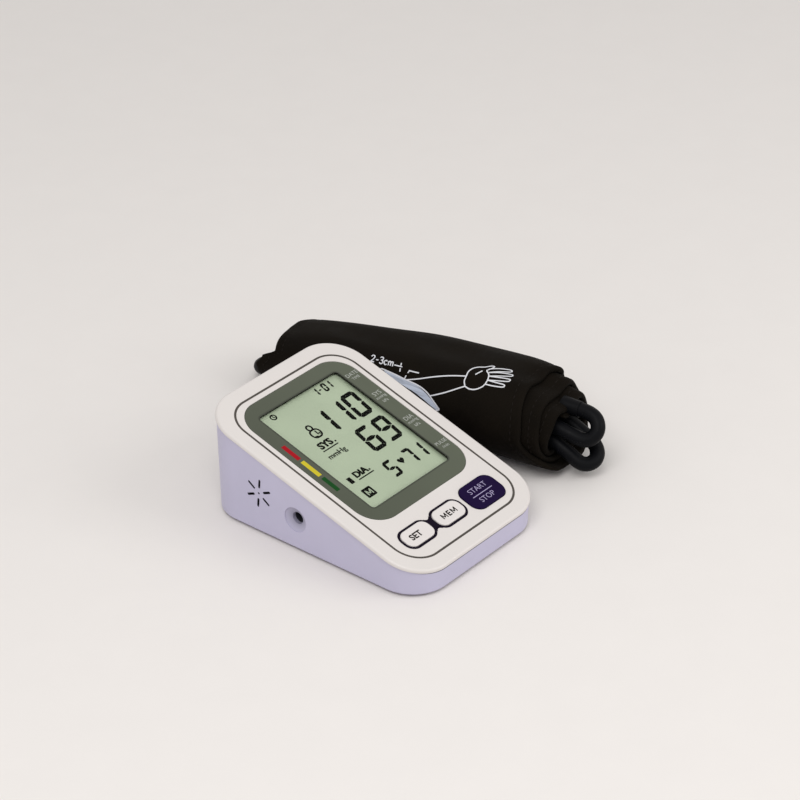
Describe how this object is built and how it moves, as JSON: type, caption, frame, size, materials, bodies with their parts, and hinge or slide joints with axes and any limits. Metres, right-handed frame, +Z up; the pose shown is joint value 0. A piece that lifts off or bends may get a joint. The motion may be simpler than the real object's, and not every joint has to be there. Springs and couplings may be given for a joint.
{
  "type": "blood pressure monitor",
  "caption": "Desktop upper-arm blood pressure monitor with a sloped face, display, press keys and a side air socket, with its arm cuff rolled up around the hose beside it.",
  "frame": {"origin": "on the table under the middle of the monitor's case", "axes": "+X to the user's right, +Y away from the user, +Z up"},
  "size_m": [0.174, 0.2037, 0.0558],
  "materials": {
    "cover_white": "satin white",
    "case_lavender": "fine texture",
    "lens": "dark mask with a clear window",
    "lcd_glass": "grey-green reflective",
    "holder_white": "moulded",
    "zebra": "striped",
    "board_green": "solder resist",
    "chip_black": "moulded",
    "key_indigo": "satin",
    "key_white": "satin",
    "key_dark": "satin",
    "steel": "plated",
    "magnet": "sintered",
    "paper_cone": "pressed paper",
    "rubber_black": "moulded",
    "tube_clear": "translucent silicone",
    "block_grey": "moulded",
    "pump_black": "moulded",
    "cell_wrap": "printed wrap",
    "cuff_fabric": "woven nylon",
    "bladder_film": "film",
    "hose_rubber": "smooth"
  },
  "bodies": {
    "monitor": {"lower_case": "case_lavender", "top_cover": "cover_white", "display_lens": "lens", "lcd_panel": "lcd_glass", "lcd_holder": "holder_white", "zebra_strip": "zebra", "main_board": "board_green", "power_board": "board_green", "microcontroller": "chip_black", "pressure_sensor": "holder_white", "tact_switches": "chip_black", "key_frame": "key_dark", "board_screws": "steel", "case_screws": "steel", "rubber_feet": "rubber_black", "speaker_basket": "steel", "speaker_cone": "paper_cone", "speaker_magnet": "magnet", "air_jack": "block_grey", "air_manifold": "block_grey", "tube_jack": "tube_clear", "tube_valve": "tube_clear", "tube_sensor": "tube_clear", "tube_pump": "tube_clear", "pump_motor": "steel", "motor_magnets": "magnet", "pump_head": "pump_black", "pump_sleeves": "rubber_black", "release_valve": "steel", "contact_springs": "steel", "contact_plates": "steel", "usb_socket": "steel", "cell_1": "cell_wrap", "cell_2": "cell_wrap", "cell_3": "cell_wrap", "cell_4": "cell_wrap"},
    "start_key": {"start_button": "key_indigo", "start_plunger": "chip_black"},
    "mem_key": {"mem_button": "key_white", "mem_plunger": "chip_black"},
    "set_key": {"set_button": "key_white", "set_plunger": "chip_black"},
    "door": {"battery_cover": "case_lavender"},
    "rotor": {"motor_rotor": "steel"},
    "valve_core": {"valve_plunger": "steel"},
    "cuff": {"cuff_sleeve": "cuff_fabric", "cuff_bladder": "bladder_film", "hose_port": "hose_rubber", "hose": "hose_rubber", "hose_plug": "pump_black"}
  },
  "joints": [
    {"name": "start_press", "type": "slide", "parent": "monitor", "child": "start_key", "axis": [0, 0.2924, -0.9563], "range_m": [0, 0.0008], "stiffness_N_per_m": 2000},
    {"name": "mem_press", "type": "slide", "parent": "monitor", "child": "mem_key", "axis": [0, 0.2924, -0.9563], "range_m": [0, 0.0008], "stiffness_N_per_m": 2000},
    {"name": "set_press", "type": "slide", "parent": "monitor", "child": "set_key", "axis": [0, 0.2924, -0.9563], "range_m": [0, 0.0008], "stiffness_N_per_m": 2000},
    {"name": "door_slide", "type": "slide", "parent": "monitor", "child": "door", "axis": [0, 1, 0], "range_m": [0, 0.062]},
    {"name": "rotor_spin", "type": "hinge", "parent": "monitor", "child": "rotor", "pos_m": [0.0205, 0.054, 0.0303], "axis": [1, 0, 0], "continuous": true},
    {"name": "valve_stroke", "type": "slide", "parent": "monitor", "child": "valve_core", "axis": [0, 1, 0], "range_m": [0, 0.001], "stiffness_N_per_m": 300},
    {"name": "cuff_away", "type": "slide", "parent": "monitor", "child": "cuff", "axis": [1, 0, 0], "range_m": [0, 0.15]}
  ]
}
